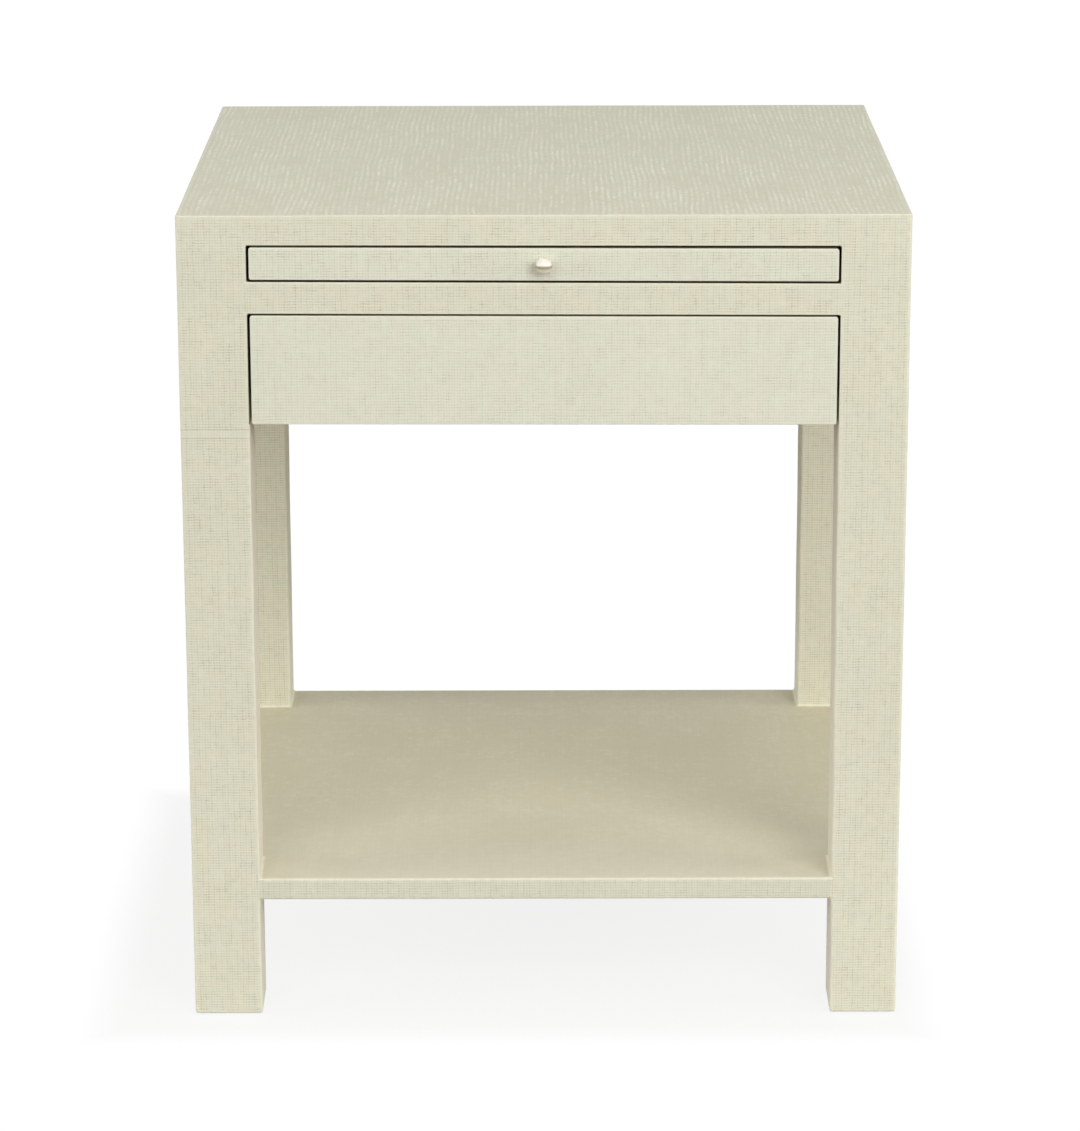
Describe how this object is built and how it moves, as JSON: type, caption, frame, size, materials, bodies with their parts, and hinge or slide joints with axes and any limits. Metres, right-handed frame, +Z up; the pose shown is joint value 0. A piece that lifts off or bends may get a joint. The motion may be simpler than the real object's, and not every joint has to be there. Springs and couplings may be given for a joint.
{
  "type": "parsons table",
  "caption": "Bedside parsons table: flush square legs and top, a pull-out tray with a small round knob, a dovetailed drawer on ball-bearing slides, and a low shelf.",
  "frame": {"origin": "on the floor, under the middle of the overall box, knob included", "axes": "+Z up; the tray and drawer fronts face -Y; +X is to the right as seen from the front"},
  "size_m": [0.57, 0.5224, 0.661],
  "materials": {
    "lacquered_linen_board": "coarse plain-weave cloth on board under cream lacquer, satin",
    "plain_wood": "planed hardwood, unfinished",
    "plywood": "sanded birch plywood",
    "drawer_wood": "planed hardwood, clear satin lacquer",
    "slide_steel": "zinc-plated rolled steel",
    "ball_steel": "bright steel",
    "knob_paint": "cream enamel, semi-gloss",
    "glide_nylon": "white nylon",
    "bumper_rubber": "soft black rubber"
  },
  "bodies": {
    "case": {"top_panel": "lacquered_linen_board", "front_leg_left": "lacquered_linen_board", "front_leg_right": "lacquered_linen_board", "back_leg_left": "lacquered_linen_board", "back_leg_right": "lacquered_linen_board", "side_apron_left": "lacquered_linen_board", "side_apron_right": "lacquered_linen_board", "back_apron": "lacquered_linen_board", "mid_rail": "lacquered_linen_board", "lower_shelf": "lacquered_linen_board", "deck_panel": "plywood", "tray_guide_left": "plain_wood", "tray_guide_right": "plain_wood", "slide_packer_left": "plain_wood", "slide_packer_right": "plain_wood", "tray_stop_blocks": "plain_wood", "tray_bumpers": "bumper_rubber", "top_tenons": "plain_wood", "shelf_tenons": "plain_wood", "foot_glides": "glide_nylon", "outer_slide_left": "slide_steel", "outer_slide_right": "slide_steel"},
    "tray": {"tray_front": "lacquered_linen_board", "tray_board": "lacquered_linen_board", "tray_knob": "knob_paint", "tray_stop_pegs": "plain_wood"},
    "drawer": {"drawer_front": "lacquered_linen_board", "drawer_box_front": "drawer_wood", "drawer_back": "drawer_wood", "drawer_side_left": "drawer_wood", "drawer_side_right": "drawer_wood", "drawer_bottom": "plywood", "inner_slide_left": "slide_steel", "inner_slide_right": "slide_steel"},
    "middle_slide_left": {"middle_slide_left": "slide_steel"},
    "middle_slide_right": {"middle_slide_right": "slide_steel"},
    "outer_cage_left": {"outer_cage_left": "ball_steel"},
    "outer_cage_right": {"outer_cage_right": "ball_steel"},
    "inner_cage_left": {"inner_cage_left": "ball_steel"},
    "inner_cage_right": {"inner_cage_right": "ball_steel"}
  },
  "joints": [
    {"name": "tray_slide", "type": "slide", "parent": "case", "child": "tray", "axis": [0, -1, 0], "range_m": [0, 0.3]},
    {"name": "drawer_slide", "type": "slide", "parent": "case", "child": "drawer", "axis": [0, -1, 0], "range_m": [0, 0.4]},
    {"name": "middle_slide_left_travel", "type": "slide", "parent": "case", "child": "middle_slide_left", "axis": [0, -1, 0], "range_m": [0, 0.2]},
    {"name": "middle_slide_right_travel", "type": "slide", "parent": "case", "child": "middle_slide_right", "axis": [0, -1, 0], "range_m": [0, 0.2]},
    {"name": "outer_cage_left_travel", "type": "slide", "parent": "case", "child": "outer_cage_left", "axis": [0, -1, 0], "range_m": [0, 0.1]},
    {"name": "outer_cage_right_travel", "type": "slide", "parent": "case", "child": "outer_cage_right", "axis": [0, -1, 0], "range_m": [0, 0.1]},
    {"name": "inner_cage_left_travel", "type": "slide", "parent": "case", "child": "inner_cage_left", "axis": [0, -1, 0], "range_m": [0, 0.3]},
    {"name": "inner_cage_right_travel", "type": "slide", "parent": "case", "child": "inner_cage_right", "axis": [0, -1, 0], "range_m": [0, 0.3]}
  ],
  "couplings": [
    {"joint": "middle_slide_left_travel", "follows": "drawer_slide", "ratio": 0.5},
    {"joint": "middle_slide_right_travel", "follows": "drawer_slide", "ratio": 0.5},
    {"joint": "outer_cage_left_travel", "follows": "drawer_slide", "ratio": 0.25},
    {"joint": "outer_cage_right_travel", "follows": "drawer_slide", "ratio": 0.25},
    {"joint": "inner_cage_left_travel", "follows": "drawer_slide", "ratio": 0.75},
    {"joint": "inner_cage_right_travel", "follows": "drawer_slide", "ratio": 0.75}
  ]
}
